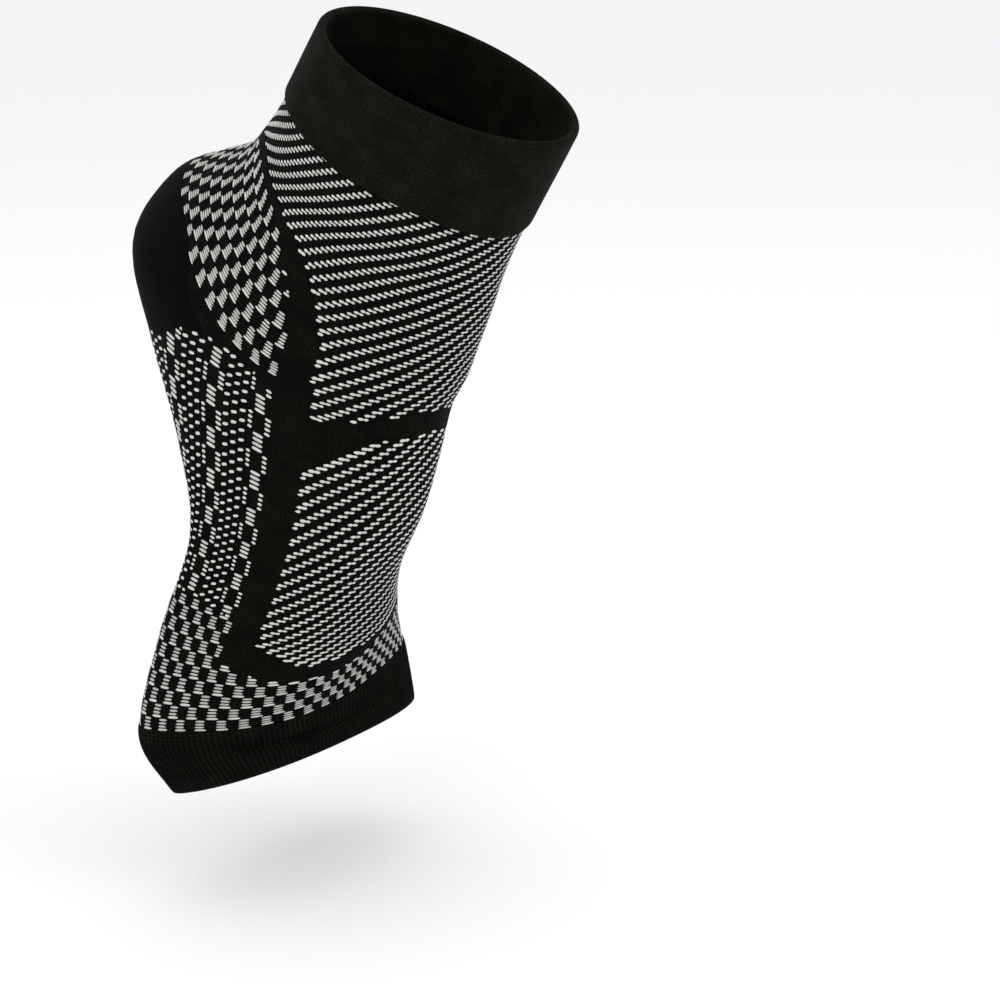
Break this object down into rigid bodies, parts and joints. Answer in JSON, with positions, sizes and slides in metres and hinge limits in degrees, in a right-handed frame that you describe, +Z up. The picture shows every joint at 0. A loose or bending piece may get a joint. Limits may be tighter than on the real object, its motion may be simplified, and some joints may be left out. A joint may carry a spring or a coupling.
{
  "type": "ankle brace sock",
  "caption": "Open-toe knitted compression sleeve for the left ankle, with a plain cuff, striped and checked stretch panels, a plain support frame, a heel pocket and a ribbed toe band.",
  "frame": {"origin": "middle of the ankle joint, which the sleeve sits round", "axes": "+Z up as worn with the toes hanging down, -Y forward towards the top of the foot, +X to the outer side of the left foot"},
  "size_m": [0.1046, 0.1569, 0.2394],
  "materials": {
    "plain_knit": "plain black elastic knit",
    "rib_knit": "black ribbed elastic knit",
    "stripe_knit": "black elastic knit with white stepped stripes",
    "check_knit": "black elastic knit with white checks",
    "chain_knit": "black elastic knit with white chains and dashes"
  },
  "bodies": {
    "root": {"cuff": "plain_knit", "shin_panel": "stripe_knit", "support_frame": "plain_knit", "instep_panel": "stripe_knit", "ankle_panel": "check_knit", "heel_pocket": "plain_knit", "arch_panel": "chain_knit", "forefoot_band": "check_knit", "toe_band": "rib_knit"}
  },
  "joints": []
}
